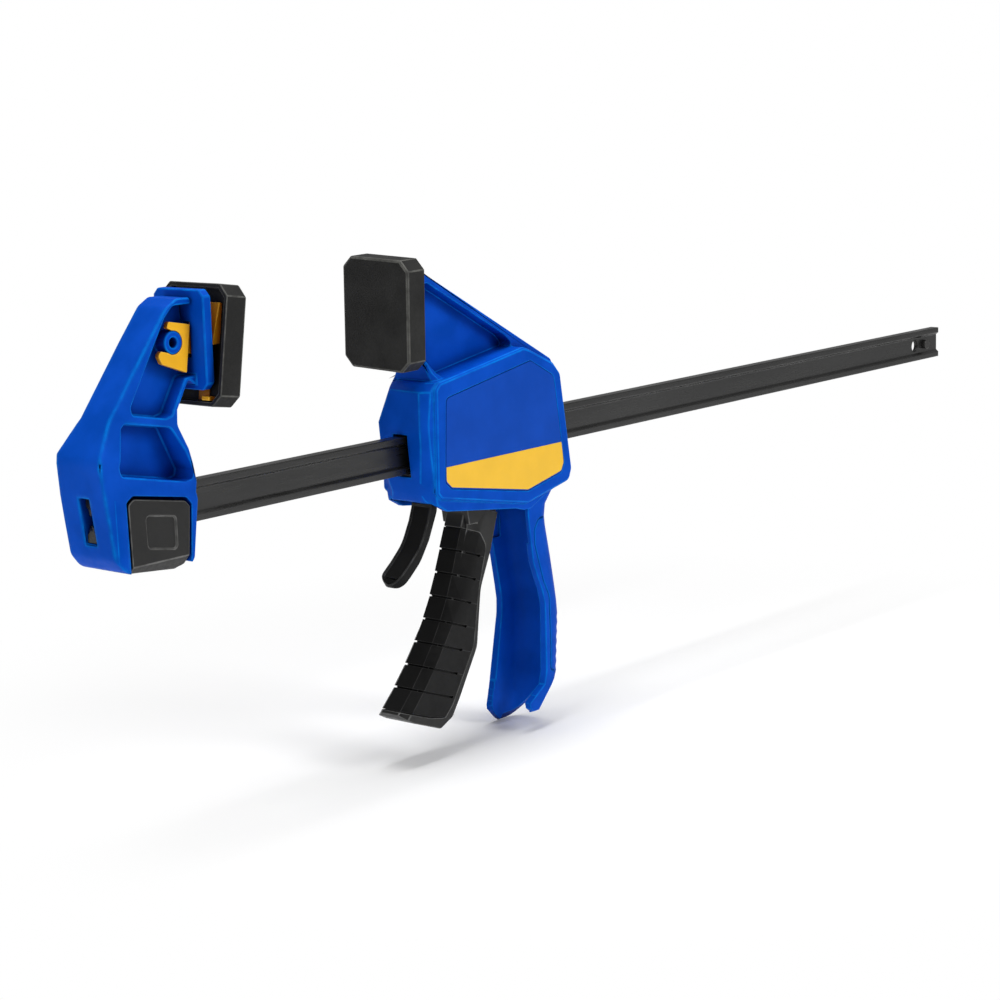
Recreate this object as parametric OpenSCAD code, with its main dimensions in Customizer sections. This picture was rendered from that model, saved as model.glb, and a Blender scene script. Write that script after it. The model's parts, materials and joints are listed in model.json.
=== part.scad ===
// Quick release bar clamp: one-handed bar clamp with a squeeze trigger, a release
// lever, swivelling pads and a jaw that a push button frees from the bar.
// Millimetres. The bar lies along X, its mid-plane is Y = 0, and the clamp stands
// on the toe of its handle. Outlines are drawn in the plane Y = 0 as [x, z, corner radius].

/* [Bar] */
// Length of the steel bar
bar_length = 757; // [640:5:900]
// Height of the bar
bar_height = 20; // [18:0.5:21]
// Thickness of the bar across its flanges
bar_width = 6.4; // [5.6:0.2:7.2]
// Height of each flange of the bar
flange_height = 3.4; // [2.6:0.2:4]
// Thickness of the web between the flanges
web_thickness = 3; // [2.4:0.2:3.6]
// Diameter of the hanging hole near the tail
hanging_hole = 8; // [6:0.5:9]
// Diameter of the stop pin at the tail
stop_pin_diameter = 6; // [4:0.5:7]

/* [Opening] */
// Clear distance between the two pads
opening = 114.7; // [60:0.5:300]

/* [Pads] */
// Height of a pad
pad_height = 57.5; // [55:0.5:60]
// Width of a pad
pad_width = 45; // [41:0.5:50]
// Thickness of a pad over its rim
pad_thickness = 13; // [12.5:0.1:13.5]
// Cut-off at the corners of a pad
pad_chamfer = 5.4; // [2:0.1:8]
// Lean of the fixed pad on its pivot, in degrees
fixed_pad_lean = 8.7; // [4:0.1:9]
// Lean of the moving pad on its pivot, in degrees
moving_pad_lean = -1.1; // [-2:0.1:2]
// Skew of the moving pad on its carrier, in degrees
moving_pad_skew = 2.4; // [-3:0.1:3]

/* [Fixed jaw] */
// Width of the block that takes the bar
jaw_width = 33; // [31:0.5:36]
// Width of both jaw arms
arm_width = 20; // [19:0.5:22]
// Thickness of the wall in the middle of the arms
arm_web = 4; // [3:0.2:5]
// Width of the plate behind each pad
plate_width = 34; // [30:0.5:36]
// Travel of the push button
button_travel = 3.5; // [3:0.1:3.8]
// Diameter of the lock bolt
bolt_diameter = 6.4; // [5.6:0.2:6.8]

/* [Body] */
// Width of the body over its side panels
body_width = 39; // [37:0.5:42]
// Depth of the recess for the label plates
label_depth = 1.2; // [0.8:0.1:1.6]
// Width of the hollow that holds the mechanism
hollow_width = 28; // [27.5:0.5:30]

/* [Handle] */
// Width of the rear handle
handle_width = 33; // [31:0.5:36]
// Thickness of the handle's side walls
handle_wall = 4; // [3.4:0.2:4.4]
// Height of the ridges on the back of the handle
ridge_height = 1.1; // [0.6:0.1:1.6]

/* [Trigger] */
// Width of the trigger
trigger_width = 21; // [19:0.5:22]
// Number of cross grooves in the grip
groove_count = 7; // [5:1:8]
// Depth of the cross grooves
groove_depth = 1.2; // [0.6:0.1:1.6]
// Diameter of the trigger's pivot pin
trigger_pin_diameter = 6; // [5:0.5:7]

/* [Release lever] */
// Width of the release lever
lever_width = 14; // [12:0.5:16]
// Forward lean of the brake plate while it grips, in degrees
brake_lean = 8; // [6:0.5:9]

/* [Plates and springs] */
// Thickness of the drive and brake plates
plate_thickness = 3; // [2.4:0.2:3.2]
// Wire diameter of the drive spring
drive_wire = 1.8; // [1.4:0.1:2]

/* [Fits] */
// Clearance of the bar in its slots, each side
bar_clearance = 0.4; // [0.3:0.05:0.6]
// Running clearance of pins, each side
pin_clearance = 0.08; // [0.05:0.01:0.1]

/* [Hidden] */
body_blue = [0, 0.26, 0.7];
band_yellow = [0.98, 0.78, 0.12];
carrier_orange = [0.95, 0.6, 0.08];
bar_black = [0.17, 0.17, 0.17];
pad_grey = [0.15, 0.15, 0.14];
soft_black = [0.09, 0.09, 0.09];
steel_grey = [0.62, 0.62, 0.63];

far = 400;                       // longer than anything that is cut
skin = 0.01;                     // cuts run this far past a face
round_steps = 4;                 // straight pieces in a rounded corner

// bar, measured from the face of the moving pad
bar_head = 79.3;                 // from the fixed pad's face back to the bar's head
jaw_back = 85.6;                 // from the fixed pad's face to the jaw's outer end
bar_start = -opening - bar_head;
bar_end = bar_start + bar_length;
hole_from_tail = 28.8;
stop_from_tail = 16.7;
stop_proud = 1;                  // the stop pin stands this far out of the bar

// the clamp stands with the lowest point of its handle on Z = 0
toe_z = -166;
mid_x = (bar_end - opening - jaw_back) / 2;

// pads and their pivots
pad_bevel = 0.8;
pad_recess = 4;                  // depth of the hollow in its back
pad_rim = 2.2;                   // wall round the hollow
pad_seat = pad_thickness - pad_recess;
key_height = 30;                 // key of the carrier in the back of the pad
key_width = 16;
key_depth = 4;
fixed_pivot = [-31.8, 77];       // boss, from the fixed pad's face at zero opening
fixed_reach = 23.2;              // from the boss to the seat in the back of the pad
moving_pivot = [21.5, 75.4];
moving_reach = 12.5;
boss_radius = 5.5;
boss_bore = 2.4;
pad_pin_diameter = 4;

// fixed jaw: plate, then outlines from the fixed pad's face
jaw_plate_front = -14.6;
plate_depth = 5;
jaw_plate_z = [53.5, 100.5];
plate_corner = 3;
window_y = arm_web / 2 + 2.4;    // middle of each window for the carrier's tongues
window_z = 8.2;
button_x = -52.3;                // centre line of the lock bolt
button_deep = 10;                // depth of the button's recess
button_thick = 5.9;
button_gap = 0.3;
bolt_waist = 4;
bolt_end = 6.5;                  // the bolt's inner end
spring_room = 5.6;

// body
body_plate_front = 13;
body_plate_z = [50.4, 98.4];
panel_bevel = 1.1;
band_thick = 0.5;
label_joint = 0.15;
under_half = body_width / 2 - 2;
hollow_front = 22;
hollow_rear = 121;
label_wall = 2.8;                // wall behind each label plate
guide_thick = 3.5;
guide_half = [7.5, 14];
mouth_gap = 1.6;                 // of the slot round the bar in front of the guide

// mechanism
trigger_pivot = [62, 19];
nose_radius = 5;                 // the fork's lobe that pushes the drive plates
nose_z = -12;
drive_front = trigger_pivot[0] + nose_radius;
drive_half = [9.5, 13.5];
brake_pivot = [38, 20];
brake_long = 44;
brake_half = 8;
brake_hole_slack = 0.8;          // lets the plate tilt round the bar
brake_rib = [45, 48];
spring_z = -14.6;
brake_spring_radius = 3;
brake_wire = 0.9;
lever_head = 3.6;                // half thickness of the head that holds the plate
lever_head_from = 38.8;          // from the pivot down to the top of the head
rivet_radius = 1.4;
rivet_y = 3.2;
rivet_z = 2.6 - brake_long;      // from the pivot
drive_gap = 0.3;                 // the two drive plates
drive_rear = drive_front + 2 * plate_thickness + drive_gap;
drive_spring_radius = norm([bar_height, bar_width]) / 2 + drive_wire / 2 + 0.6;

// trigger: its grooves lie square to this lean
groove_lean = 19.5;
trigger_half = trigger_width / 2;
front_half = 6;
grip_top = 23.4;
grip_bottom = 126;
groove_pitch = (grip_bottom - grip_top) / (groove_count + 1);
groove_half = 0.5;
groove_end = 79.5;               // where the grooves stop on the sides, in the leaning frame
groove_eye = 0.8;                // radius of a groove's round end
grip_joint = 0.35;               // between the grip and the frame's rim
core_half = trigger_half - 3;

// ---------------------------------------------------------------- helpers

function unit(v) = v / norm(v);

// points of the arc that rounds the corner p between a and b
function corner(a, p, b, steps) =
    let (at = [p[0], p[1]],
         u = unit([a[0], a[1]] - at),
         v = unit([b[0], b[1]] - at),
         half = acos(u * v) / 2,
         middle = at + unit(u + v) * p[2] / sin(half),
         from = at + u * p[2] / tan(half) - middle,
         to = at + v * p[2] / tan(half) - middle)
    [for (i = [0:steps]) middle + p[2] * unit(from * (steps - i) + to * i)];

// outline of points [x, z] or [x, z, radius], with the radii put in
function outline(points, steps = round_steps) =
    [for (i = [0:len(points) - 1])
        let (n = len(points), p = points[i])
        each (len(p) > 2 ? corner(points[(i + n - 1) % n], p, points[(i + 1) % n], steps)
                         : [p])];

// an outline in X and Z, as a plate centred on Y = 0
module plate_xz(points, width) {
    rotate([90, 0, 0])
        linear_extrude(width, center = true) polygon(outline(points));
}

// the same plate between two values of Y
module slab_xz(points, from_y, to_y, inset = 0) {
    translate([0, to_y, 0]) rotate([90, 0, 0])
        linear_extrude(to_y - from_y)
            offset(delta = -inset) polygon(outline(points));
}

// box from its low corner to its high corner
module block(low, high) {
    translate(low) cube(high - low);
}

// cylinder along Y, centred on Y = 0, at a point [x, z]
module pin_y(at, radius, length, sides = 48) {
    translate([at[0], 0, at[1]]) rotate([90, 0, 0])
        cylinder(h = length, r = radius, center = true, $fn = sides);
}

// solid through a list of sections that have the same number of points, which turn
// anticlockwise seen from the last section
module loft(sections) {
    n = len(sections);
    m = len(sections[0]);
    polyhedron(
        points = [for (s = sections) each s],
        faces = concat(
            [[for (j = [0:m - 1]) j]],
            [[for (j = [m - 1:-1:0]) (n - 1) * m + j]],
            [for (i = [0:n - 2], j = [0:m - 1])
                each [[i * m + j, (i + 1) * m + j, i * m + (j + 1) % m],
                      [i * m + (j + 1) % m, (i + 1) * m + j, (i + 1) * m + (j + 1) % m]]]),
        convexity = 6);
}

// coil spring along X from x = 0
module coil_x(radius, wire, length, turns, steps = 14, sides = 6) {
    count = turns * steps;
    run = length - wire;
    loft([for (i = [0:count])
        let (a = 360 * i / steps, x = wire / 2 + run * i / count)
        [for (k = [0:sides - 1])
            let (b = 360 * k / sides, r = radius + wire / 2 * cos(b))
            [x - wire / 2 * sin(b), r * cos(a), r * sin(a)]]]);
}

// moves the working frame (pad face at X = 0, bar centre at Z = 0) to the standing frame
module place() {
    translate([-mid_x, 0, -toe_z]) children();
}

// the fixed jaw's own frame: X = 0 at the face of the fixed pad
module on_jaw() {
    translate([-opening, 0, 0]) children();
}

// ---------------------------------------------------------------- bar

// half of the I section, from the top middle round the +Y side
function bar_half_section() =
    let (y = bar_width / 2, z = bar_height / 2, edge = 0.5,
         w = web_thickness / 2, inner = bar_height / 2 - flange_height, slope = 1.4)
    [[y - edge, z], [y, z - edge], [y, inner], [w, inner - slope],
     [w, -inner + slope], [y, -inner], [y, -z + edge], [y - edge, -z]];

module bar() {
    section = bar_half_section();
    far_side = [for (i = [len(section) - 1:-1:0]) [-section[i][0], section[i][1]]];
    slot = bolt_waist / 2 + 0.25;
    color(bar_black) place() difference() {
        translate([bar_start, 0, 0]) rotate([90, 0, 90])
            linear_extrude(bar_length) polygon(concat(section, far_side));
        pin_y([bar_end - hole_from_tail, 0], hanging_hole / 2, far);
        pin_y([bar_end - stop_from_tail, 0], stop_pin_diameter / 2, far);
        on_jaw() pin_y([button_x, 0], bolt_diameter / 2 + 0.3, far);
        on_jaw() block([-bar_head - 1, -bar_width, -slot], [button_x, bar_width, slot]);
    }
}

module stop_pin() {
    color(steel_grey) place()
        pin_y([bar_end - stop_from_tail, 0], stop_pin_diameter / 2,
              bar_width + 2 * stop_proud);
}

// room for the bar, a little larger all round
module bar_slot(from_x, to_x) {
    y = bar_width / 2 + bar_clearance;
    z = bar_height / 2 + bar_clearance;
    block([from_x, -y, -z], [to_x, y, z]);
}

// ---------------------------------------------------------------- pads

// eight-sided pad, face at X = 0, body towards +X
function octagon(w, h, c) =
    [[w / 2, h / 2 - c], [w / 2 - c, h / 2], [-w / 2 + c, h / 2], [-w / 2, h / 2 - c],
     [-w / 2, -h / 2 + c], [-w / 2 + c, -h / 2], [w / 2 - c, -h / 2], [w / 2, -h / 2 + c]];

module pad_sheet(inset, depth) {
    rotate([90, 0, 90]) linear_extrude(depth)
        polygon(octagon(pad_width - 2 * inset, pad_height - 2 * inset,
                        pad_chamfer - inset / 2));
}

module pad_key(slack = 0) {
    block([pad_seat - key_depth - slack, -key_width / 2 - slack, -key_height / 2 - slack],
          [pad_seat + skin, key_width / 2 + slack, key_height / 2 + slack]);
}

// the part of the key that fills the pad's recess
module key_in_pad() {
    intersection() {
        pad_key();
        block([0, -far, -far], [pad_seat, far, far]);
    }
}

module pad() {
    difference() {
        hull() {
            pad_sheet(pad_bevel, pad_thickness - pad_bevel);
            translate([pad_bevel, 0, 0]) pad_sheet(0, pad_thickness - pad_bevel);
        }
        pad_key();
        translate([pad_seat, 0, 0]) pad_sheet(pad_rim, pad_thickness);
    }
}

// frame of the fixed pad: face at X = 0, body towards +X, leaning on the boss
module on_fixed_pad() {
    on_jaw() translate([fixed_pivot[0], 0, fixed_pivot[1]])
        rotate([0, fixed_pad_lean, 0]) translate([fixed_reach + pad_seat, 0, 0])
            mirror([1, 0, 0]) children();
}

module on_moving_pad() {
    translate([moving_pivot[0], 0, moving_pivot[1]]) rotate([0, moving_pad_lean, 0])
        translate([-moving_reach - pad_seat, 0, 0]) children();
}

module fixed_pad() {
    color(pad_grey) place() on_fixed_pad() pad();
}

module moving_pad() {
    color(pad_grey) place() on_moving_pad() rotate([moving_pad_skew, 0, 0]) pad();
}

// two flat hooks that snap over the bosses, each on a tongue through the jaw's plate,
// and a wedge-backed plate with the key for the pad
module fixed_carrier() {
    back = pad_seat;
    pivot = back + fixed_reach;
    hook_in = arm_web / 2 + 0.6;
    hook_mid = hook_in + 3.6;
    hook_out = arm_width / 2 - 1;
    wedge = 5;
    slope = tan(fixed_pad_lean + 0.2);
    top = 20;
    low = -17.5;
    lip = [4.4, 2];              // reach and height of the piece under the jaw's plate
    lip_z = -pad_height / 2 + pad_rim + 0.6;
    tongue = 4.6;
    hook = [[pivot - 9.6, -13.6], [pivot + 6, -10.4, 1], [pivot + 9, -6.6, 1.6],
            [pivot + 7.2, -4.4, 1], [pivot, -5.2], [pivot, 5.2], [pivot + 4.6, 6.4, 0.8],
            [pivot + 4, 9.5, 1.2], [pivot - 9.6, 9]];
    color(carrier_orange) place() on_fixed_pad() union() {
        slab_xz([[back, 1], [back + wedge, 0], [back + wedge - top * slope, top],
                 [back, top]], -15.5, 15.5);
        slab_xz([[back, low], [back + wedge + low * slope, low], [back + wedge, 0],
                 [back, 1]], -11, 11);
        block([back, -11, lip_z], [back + 0.8, -4, low + 1]);
        block([back, -15, lip_z], [back + lip[0], -10, lip_z + lip[1]]);
        key_in_pad();
        for (side = [-1, 1])
            difference() {
                union() {
                    slab_xz(hook, min(side * hook_mid, side * hook_out),
                            max(side * hook_mid, side * hook_out));
                    block([back, min(side * hook_in, side * hook_mid), -tongue],
                          [pivot, max(side * hook_in, side * hook_mid), tongue]);
                }
                pin_y([pivot, 0], boss_radius + pin_clearance, far);
            }
    }
}

module moving_carrier() {
    back = pad_seat;
    pivot = back + moving_reach;
    lug = [[back, -5.5, 0.5], [pivot + 1, -4.4, 3.4], [pivot + 4.2, 0, 3],
           [pivot + 1, 4.4, 3.4], [back, 5.5, 0.5]];
    color(carrier_orange) place() on_moving_pad() difference() {
        union() {
            rotate([moving_pad_skew, 0, 0]) {
                block([back, -14, -9], [back + 3.2, 14, 9]);
                key_in_pad();
            }
            plate_xz(lug, 8);
        }
        pin_y([pivot, 0], pad_pin_diameter / 2 + pin_clearance, far);
    }
}

module pad_pin() {
    color(steel_grey) place() pin_y(moving_pivot, pad_pin_diameter / 2, arm_width);
}

// upright plate with cut corners, from its front face towards -X or +X
module jaw_plate(front, depth, z) {
    w = plate_width / 2;
    c = plate_corner;
    translate([min(front, front + depth), 0, 0]) rotate([90, 0, 90])
        linear_extrude(abs(depth))
            polygon([[-w, z[0] + c], [-w + c, z[0]], [w - c, z[0]], [w, z[0] + c],
                     [w, z[1] - c], [w - c, z[1]], [-w + c, z[1]], [-w, z[1] - c]]);
}

// ---------------------------------------------------------------- fixed jaw

jaw_silhouette = [
    [-21, 97, 1.5], [-29.5, 97.2, 4], [-36, 93.6, 8], [-49.3, 77.4], [-75.8, 43.8],
    [-84.9, 30.5, 6], [-85.6, 26], [-81.8, 0], [-79.3, -17, 7], [-73.5, -24.2, 8],
    [-40.3, -27.8, 4], [-32.5, -24.5, 4], [-27.4, 12.7], [-29, 21, 3], [-34.4, 39, 5],
    [-32.2, 45.8], [-24.3, 59.3, 1.5], [-20, 56, 1], [-17, 58]];
upper_pocket = [
    [-19.4, 94, 1], [-31.8, 94.1, 4], [-37.1, 89, 4], [-60.6, 50.4, 3], [-59.7, 46.8, 2],
    [-40.5, 42.9, 3], [-36, 43.9, 3], [-26.3, 60, 2], [-19.4, 60.5, 1]];
middle_pocket = [
    [-65.6, 43.5, 2], [-68.1, 41.5, 2], [-73.8, 24.9, 4], [-72.6, 20.8, 2.5],
    [-34.2, 12.8, 3.5], [-29.7, 13.6, 2], [-28.8, 17.2, 2], [-39.2, 38.5, 3]];
button_outline = [
    [-71.4, 7.9, 2], [-68.2, 10.2, 3], [-36.1, 4.6, 3], [-33.5, 1.8, 1.5],
    [-36.7, -40], [-70.2, -40]];
// the recess is a little larger; round it the block is raised, with a bevelled edge
button_recess = [
    [-72.2, 8.9, 2], [-68.2, 11.5, 3], [-35.6, 5.9, 3], [-32.6, 2.4, 1.5],
    [-35.5, -40], [-71, -40]];
frame_outer = [
    [-78, 13, 4], [-72.2, 17.2, 3], [-34.6, 10.6, 3], [-20, 2], [-20, -40], [-76.8, -40]];
frame_inner = [
    [-75.6, 10.6, 4], [-69.4, 14, 3], [-35.2, 8, 3], [-20, -2], [-20, -40], [-73.4, -40]];
frame_height = 1.3;
// hollow of the block, open below: in its far side, round the boss of the lock bolt,
// and on under the bar
jaw_core = [
    [-75.5, 17.4, 3], [-80.2, 15, 3], [-78.8, 0], [-76.3, -16], [-71, -24], [-68, -40],
    [-38.4, -40], [-34.9, -21], [-31.8, 2], [-31, 8.8, 3]];
core_under = [
    [-74.5, -13, 1.5], [-69, -24], [-67, -40], [-39, -40], [-36.5, -22], [-35.6, -13, 1.5]];
core_wall = 2.4;
core_middle = 2.6;
button_square = [[-61, 1.2, 2], [-42.8, -1.9, 2], [-42.7, -17.4, 2], [-60.4, -14.3, 2]];

// what the block and the arm have in common with three views of the jaw
module jaw_form() {
    block_half = jaw_width / 2;
    near_half = block_half - frame_height;
    arm_half = arm_width / 2;
    round_by = 5;
    intersection() {
        plate_xz(jaw_silhouette, jaw_width);
        union() {
            rotate([90, 0, 90]) translate([0, 0, -jaw_back - 1]) linear_extrude(jaw_back)
                polygon([[-near_half, -40], [block_half, -40], [block_half, 28],
                         [arm_half, 46], [arm_half, 110], [-arm_half, 110],
                         [-arm_half, 46], [-near_half, 28]]);
            hull() {
                slab_xz(frame_outer, -near_half, -near_half + 1);
                slab_xz(frame_inner, -block_half, -block_half + skin);
            }
        }
        translate([0, 0, -far / 2]) linear_extrude(far)
            polygon(outline([[-jaw_back - 1, -block_half, round_by], [0, -block_half],
                             [0, block_half], [-jaw_back - 1, block_half, round_by]]));
    }
}

// pockets on both sides of the middle wall
module both_sides(points, inner, outer = far / 2) {
    for (side = [-1, 1])
        slab_xz(points, side < 0 ? -outer : inner, side < 0 ? -inner : outer);
}

module fixed_jaw() {
    near = -jaw_width / 2;
    recess = near + button_deep;
    color(body_blue) place() on_jaw() difference() {
        union() {
            difference() {
                jaw_form();
                both_sides(upper_pocket, arm_web / 2);
                both_sides(middle_pocket, arm_web / 2);
            }
            jaw_plate(jaw_plate_front, -plate_depth, jaw_plate_z);
            pin_y(fixed_pivot, boss_radius, arm_width - 2);
        }
        pin_y(fixed_pivot, boss_bore, far);
        for (side = [-1, 1])
            block([jaw_plate_front - plate_depth - 1, side * window_y - 2.4,
                   fixed_pivot[1] - window_z],
                  [0, side * window_y + 2.4, fixed_pivot[1] + window_z]);
        bar_slot(-bar_head, 0);
        block([-far, -bar_width / 2 - bar_clearance, -11],
              [-bar_head + skin, bar_width / 2 + bar_clearance, 11]);
        slab_xz(button_recess, near - 1, recess);
        difference() {
            slab_xz(jaw_core, bar_width / 2 + core_middle, -near - core_wall);
            pin_y([button_x, 0], bolt_diameter / 2 + 3.4, far);
        }
        slab_xz(core_under, recess + core_middle, bar_width / 2 + core_middle + 0.2);
        // bore of the lock bolt and its spring
        translate([button_x, recess - 1, 0]) rotate([-90, 0, 0])
            cylinder(h = bolt_end + spring_room + 1 - recess, r = bolt_diameter / 2 + 0.1,
                     $fn = 40);
    }
}

module jaw_button() {
    near = -jaw_width / 2;
    color(soft_black) place() on_jaw() difference() {
        intersection() {
            slab_xz([for (p = button_outline)
                        [p[0] + (p[0] < button_x ? button_gap : -button_gap),
                         p[1] > 0 ? p[1] - button_gap : p[1], each (len(p) > 2 ? [p[2]] : [])]],
                    near, near + button_thick);
            plate_xz(jaw_silhouette, jaw_width);
            // bevel along the lower edge
            rotate([90, 0, 90]) translate([0, 0, -far / 2]) linear_extrude(far)
                polygon([[near, 40], [near, -21.5], [near + 4, -26.5], [near + 12, -32],
                         [near + 12, 40]]);
        }
        slab_xz(button_square, near - 1, near + 0.9);
        translate([button_x, near + button_thick, 0]) rotate([90, 0, 0])
            cylinder(h = 2, r = bolt_diameter / 2 - 0.8, $fn = 40);
    }
}

// bolt through the web, with a waist that comes level with the web when pushed
module lock_bolt() {
    back = -jaw_width / 2 + button_thick;
    waist_from = -web_thickness / 2 - button_travel - 0.2;
    waist_to = -web_thickness / 2 - 0.2;
    full = bolt_diameter / 2;
    color(steel_grey) place() on_jaw() translate([button_x, 0, 0]) rotate([-90, 0, 0])
        rotate_extrude($fn = 40)
            polygon([[0, back - 2], [full - 0.8, back - 2], [full - 0.8, back], [full, back],
                     [full, waist_from], [bolt_waist / 2, waist_from],
                     [bolt_waist / 2, waist_to], [full, waist_to], [full, bolt_end - 0.6],
                     [full - 0.6, bolt_end], [0, bolt_end]]);
}

module button_spring() {
    color(steel_grey) place() on_jaw()
        translate([button_x, bolt_end, 0]) rotate([0, 0, 90])
            coil_x(2.3, 0.7, spring_room, 5, 12, 5);
}

// ---------------------------------------------------------------- body

nose_outline = [
    [8, 35.6], [25.5, 38], [94, 48, 3], [119, 37.2, 4], [125.2, 31, 3],
    [133.2, -22.7, 4], [130.8, -28.6, 3], [113, -34], [97, -41], [87.4, -38.2],
    [30.6, -30.6, 3], [20.5, -25, 5], [16.4, -16, 4], [8, 4]];
panel_outline = [
    [22.5, 34.7, 2], [25.8, 37.9, 2], [94.6, 48.9, 4], [99.6, 47.3, 3], [119.6, 38, 5],
    [125.7, 31.2, 4], [133.9, -22.7, 5], [131.3, -29.1, 4], [94.6, -36.7, 6],
    [24.3, -23.2, 3], [21.3, -20.1, 2]];
// on the far side the panel's upper front corner is cut off further down
far_panel_outline = concat([[21.7, 18, 2], [31.2, 34.6, 2], [35.2, 39.4, 2]],
                           [for (i = [2:len(panel_outline) - 1]) panel_outline[i]]);
label_outline = [
    [30.3, 29.3, 3], [99.7, 41.1, 3], [119.3, 30.7, 5], [126.5, -19.2, 3],
    [124, -23.5, 3], [94.9, -29.5, 4], [32.4, -18.7, 3], [27.8, -14.8, 3]];
band_outline = [
    [28.6, -6.6], [124.7, -6.6], [126.3, -18, 3], [123.8, -22.8, 3], [94.9, -28.8, 4],
    [32.6, -18, 3], [28.4, -14.2, 3]];
arm_outline = [
    [14, 101], [17.5, 99.2], [131.4, 36.9, 4], [126, 28], [30, 28], [30.4, 36],
    [29.7, 39.9, 4], [23.5, 50, 2], [14, 50]];
arm_pocket = [
    [26.1, 90.4, 2.5], [90.3, 55.4, 3], [95, 51, 2], [94.2, 47.4, 1], [34.3, 38.6, 2],
    [30.5, 41.4, 2], [23.9, 49, 2]];
hollow_outline = [
    [hollow_front, -60], [hollow_front, 12, 2], [28, 18.4], [brake_rib[0], 18.4],
    [brake_rib[1] + 2, 28.5, 2], [96, 36.5, 4], [113, 29.5, 4], [hollow_rear, 20, 3], [hollow_rear, -31, 3],
    [108, -36], [108, -60]];

// plan of the nose by height: height, then for the near and the far side
// [front, half width of the front, where the side starts]
nose_levels = [
    [-40, [22, 8, 26], [22, 8, 26]], [-21, [18.4, 9.5, 22.2], [18.4, 9.5, 22.2]],
    [-14, [17.2, 11.2, 21.2], [17.2, 11.2, 21.2]], [5, [15.2, 14, 19], [15.2, 14, 19]],
    [16.5, [14.7, 14.2, 18.2], [14.5, 14.4, 18.2]], [33.5, [16.8, 12.5, 20.6], [19, 9.7, 27.6]],
    [38.5, [24, 12, 25.6], [25.6, 8.5, 31.8]], [52, [37, 4, 41], [37, 4, 41]]];

// neck that joins the nose to the arm: [z, front, half width there, where the sides
// start, half width, back]
neck_levels = [[37, 26.6, 13.8, 31, 17.3, 36], [38.6, 26.2, 12.8, 29.8, 15.4, 34.4],
               [42, 26, 11, 28, 12.4, 31], [50, 24, 9, 25, 10, 25.4]];

module housing() {
    half = body_width / 2;
    loft([for (l = neck_levels)
        [[l[1], -l[2], l[0]], [l[3], -l[4], l[0]], [l[5], -l[4], l[0]],
         [l[5], l[4], l[0]], [l[3], l[4], l[0]], [l[1], l[2], l[0]]]]);
    intersection() {
        plate_xz(nose_outline, 2 * under_half);
        loft([for (l = nose_levels)
            [[l[1][0], -l[1][1], l[0]], [l[1][2], -under_half, l[0]],
             [140, -under_half, l[0]], [140, under_half, l[0]],
             [l[2][2], under_half, l[0]], [l[2][0], l[2][1], l[0]]]]);
        translate([0, 0, -far / 2]) linear_extrude(far)
            polygon(outline([[0, -under_half], [135, -under_half, 4],
                             [135, under_half, 4], [0, under_half]]));
    }
    for (side = [-1, 1]) {
        panel = side < 0 ? panel_outline : far_panel_outline;
        hull() {
            slab_xz(panel, min(0, side * (half - panel_bevel)), max(0, side * (half - panel_bevel)));
            slab_xz(panel, min(0, side * half), max(0, side * half), panel_bevel);
        }
    }
}

// front edges, back and ridges of the handle as functions of height; the wall on the
// far side of the handle stands further forward
handle_near_line = [
    [-168, 106], [-164, 103], [-155, 99], [-152.4, 95.6], [-149.5, 94.8], [-141, 108.5],
    [-134, 110.4],
    [-96, 110.6], [-88, 108.6], [-72.6, 101.6], [-46, 98.2], [-28, 97]];
handle_far_line = [
    [-168, 107.5], [-165.4, 105], [-163.6, 102.3], [-157.4, 96.5], [-155, 96.2],
    [-149.5, 97.6], [-104, 107], [-95, 107.4],
    [-70, 103], [-46, 98.2], [-28, 97]];
handle_back_line = [
    [-168, 119.5], [-141.5, 120.6], [-106, 123.4], [-95, 123.2], [-70.4, 118.8],
    [-52, 115], [-46.6, 114.5], [-40, 115.6], [-34, 121], [-28, 124]];
ridge_zone = [-138, -103];
ridge_pitch = 5.5;

// height of the back's ridges: a flat-topped wave between the two ends of the zone
function ridge(z) =
    z < ridge_zone[0] || z > ridge_zone[1] ? 0
    : ridge_height * (abs((z - ridge_zone[0]) % ridge_pitch) < ridge_pitch / 2 ? 1 : 0);

// D-shaped section of the handle at a height, open or closed by its straight front
function handle_section(z, wall, near, far_side) =
    let (half = handle_width / 2 - wall, bulge = 12 - wall,
         start = lookup(z, handle_back_line) - 6.4,
         steps = 12)
    concat(
        [[near, -half, z]],
        [for (i = [0:steps])
            let (a = 180 * i / steps)
            [start + (bulge + (wall > 0 ? 0 : ridge(z))) * sin(a), -half * cos(a), z]],
        [[far_side, half, z]]);

// heights of the handle's sections, from its toe up
handle_levels = concat(
    [-168, -165.4, -163.6, -160, -157.4, -155, -152.4, -149.5, -146, -141, -139],
    [for (i = [5:-1:0])
        each [for (edge = [5.2, 2.9, 2.6, 0.4]) ridge_zone[1] - ridge_pitch * i - edge]],
    [-96, -88, -80, -70.4, -60, -52, -46.6, -40, -34, -28]);

module handle_outer() {
    loft([for (z = handle_levels)
        handle_section(z, 0, lookup(z, handle_near_line), lookup(z, handle_far_line))]);
}

module handle_channel() {
    loft([for (z = [-169, -141.5, -106, -96, -88, -70.4, -60, -52, -46.6, -40, -27])
        handle_section(z, handle_wall, 60, 60)]);
}

// the end of the handle is cut off at a slant, higher on the near side and at the back
module handle_end_cut() {
    edge = handle_width / 2;
    near_z = -154.2;
    low = -180;
    turn = 103;
    for (cut = [[[88, near_z], [turn, near_z], [turn, low], [88, low]],
                [[turn, near_z], [128, -129], [128, low], [turn, low]]])
        hull() {
            slab_xz(cut, -edge - 1, -edge - skin);
            slab_xz([[cut[0][0], toe_z], [cut[1][0], toe_z], [cut[1][0], low],
                     [cut[0][0], low]], edge, edge + skin);
        }
}

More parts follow.
